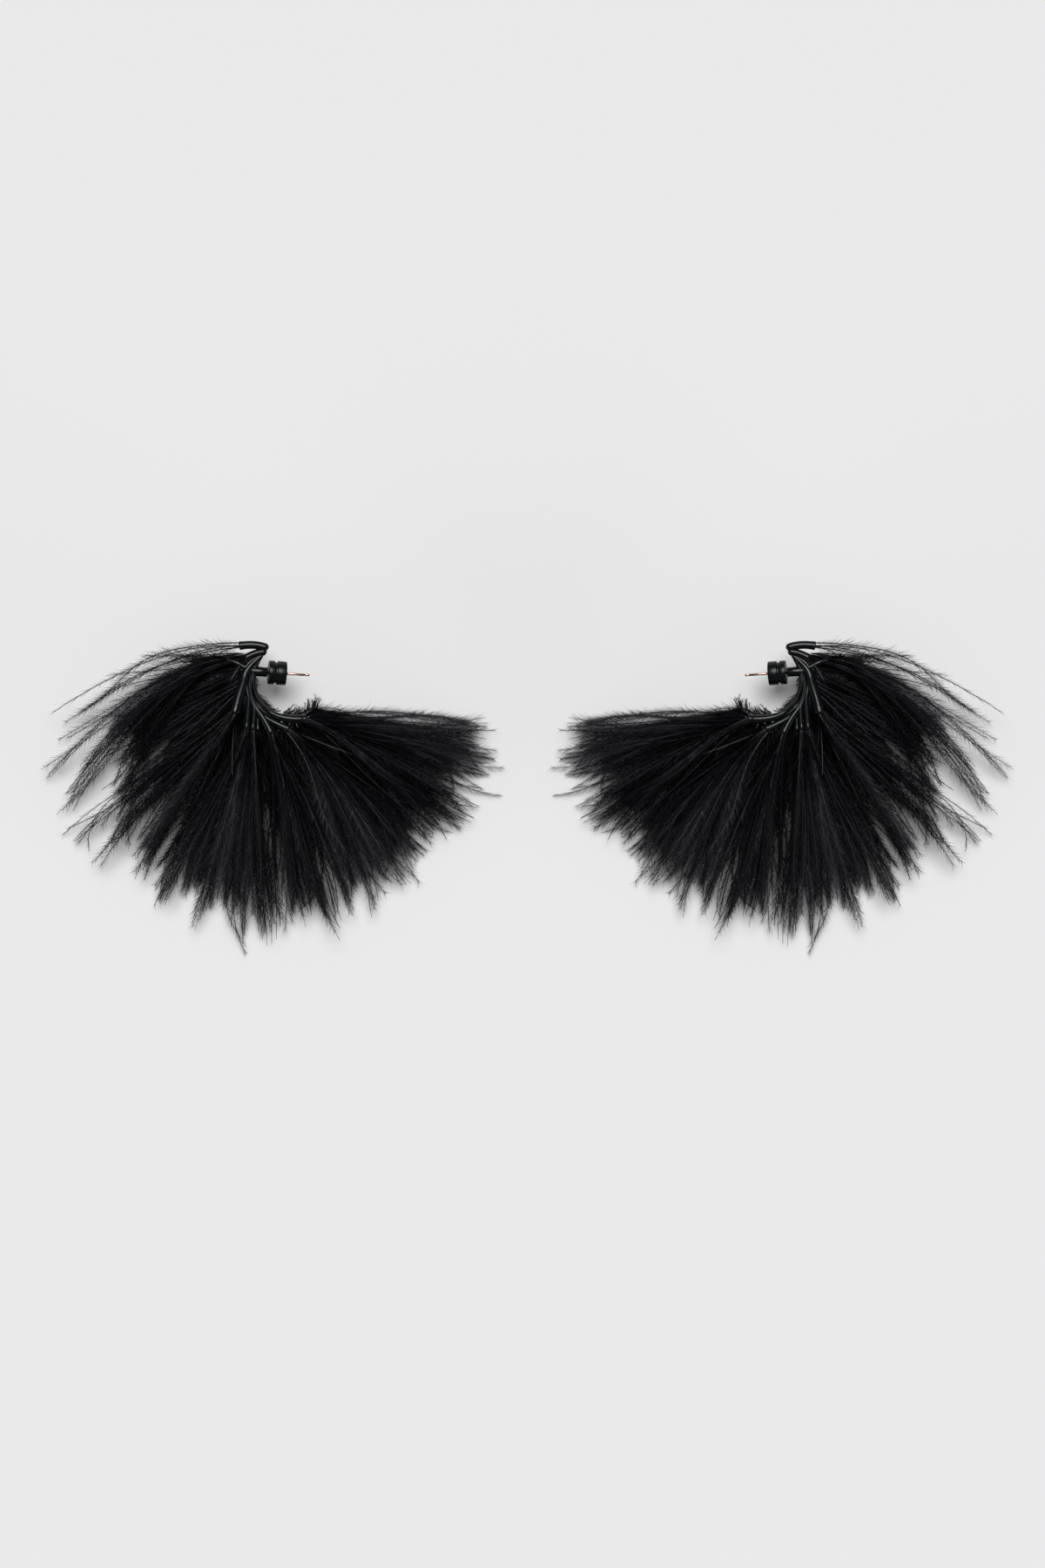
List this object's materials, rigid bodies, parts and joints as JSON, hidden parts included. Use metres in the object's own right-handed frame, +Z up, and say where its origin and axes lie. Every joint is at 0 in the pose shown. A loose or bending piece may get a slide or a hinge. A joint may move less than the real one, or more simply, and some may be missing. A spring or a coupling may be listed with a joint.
{
  "type": "feather earrings",
  "caption": "Pair of half-hoop earrings with fans of loose black feathers set in glossy black cups, and barrel backs that slide and turn on the ear posts.",
  "frame": {"origin": "middle of the pair, on the table the earrings lie on", "axes": "+X to the right across both earrings, +Y from the feather tips toward the hoop tops, +Z up from the table"},
  "size_m": [0.2418, 0.0748, 0.0162],
  "materials": {
    "enamel": "gloss",
    "feather": "matte",
    "pin_wire": "polished",
    "silicone": "satin"
  },
  "bodies": {
    "earrings": {"left_bunch_back_a": "feather", "left_bunch_back_b": "feather", "left_bunch_back_c": "feather", "left_bunch_left_a": "feather", "left_bunch_left_b": "feather", "left_bunch_low_a": "feather", "left_bunch_low_b": "feather", "left_bunch_low_c": "feather", "left_bunch_right_a": "feather", "left_bunch_right_b": "feather", "left_bunch_top_a": "feather", "left_bunch_top_b": "feather", "left_hoop_spine": "enamel", "left_post_pin": "pin_wire", "left_socket_back_a": "enamel", "left_socket_back_b": "enamel", "left_socket_back_c": "enamel", "left_socket_left_a": "enamel", "left_socket_left_b": "enamel", "left_socket_low_a": "enamel", "left_socket_low_b": "enamel", "left_socket_low_c": "enamel", "left_socket_right_a": "enamel", "left_socket_right_b": "enamel", "left_socket_top_a": "enamel", "left_socket_top_b": "enamel", "left_stem": "enamel", "right_bunch_back_a": "feather", "right_bunch_back_b": "feather", "right_bunch_back_c": "feather", "right_bunch_left_a": "feather", "right_bunch_left_b": "feather", "right_bunch_low_a": "feather", "right_bunch_low_b": "feather", "right_bunch_low_c": "feather", "right_bunch_right_a": "feather", "right_bunch_right_b": "feather", "right_bunch_top_a": "feather", "right_bunch_top_b": "feather", "right_hoop_spine": "enamel", "right_post_pin": "pin_wire", "right_socket_back_a": "enamel", "right_socket_back_b": "enamel", "right_socket_back_c": "enamel", "right_socket_left_a": "enamel", "right_socket_left_b": "enamel", "right_socket_low_a": "enamel", "right_socket_low_b": "enamel", "right_socket_low_c": "enamel", "right_socket_right_a": "enamel", "right_socket_right_b": "enamel", "right_socket_top_a": "enamel", "right_socket_top_b": "enamel", "right_stem": "enamel"},
    "left_insert": {"left_back_insert": "silicone"},
    "left_shell": {"left_back_shell": "enamel"},
    "right_insert": {"right_back_insert": "silicone"},
    "right_shell": {"right_back_shell": "enamel"}
  },
  "joints": [
    {"name": "left_back_slide", "type": "slide", "parent": "earrings", "child": "left_insert", "axis": [0.9839, -0.0688, -0.165], "range_m": [0, 0.0108]},
    {"name": "left_back_turn", "type": "hinge", "parent": "left_insert", "child": "left_shell", "pos_m": [-0.06607, 0.02921, 0.01164], "axis": [0.9839, -0.0688, -0.165], "continuous": true},
    {"name": "right_back_slide", "type": "slide", "parent": "earrings", "child": "right_insert", "axis": [-0.9839, -0.0688, -0.165], "range_m": [0, 0.0108]},
    {"name": "right_back_turn", "type": "hinge", "parent": "right_insert", "child": "right_shell", "pos_m": [0.06607, 0.02921, 0.01164], "axis": [-0.9839, -0.0688, -0.165], "continuous": true}
  ]
}
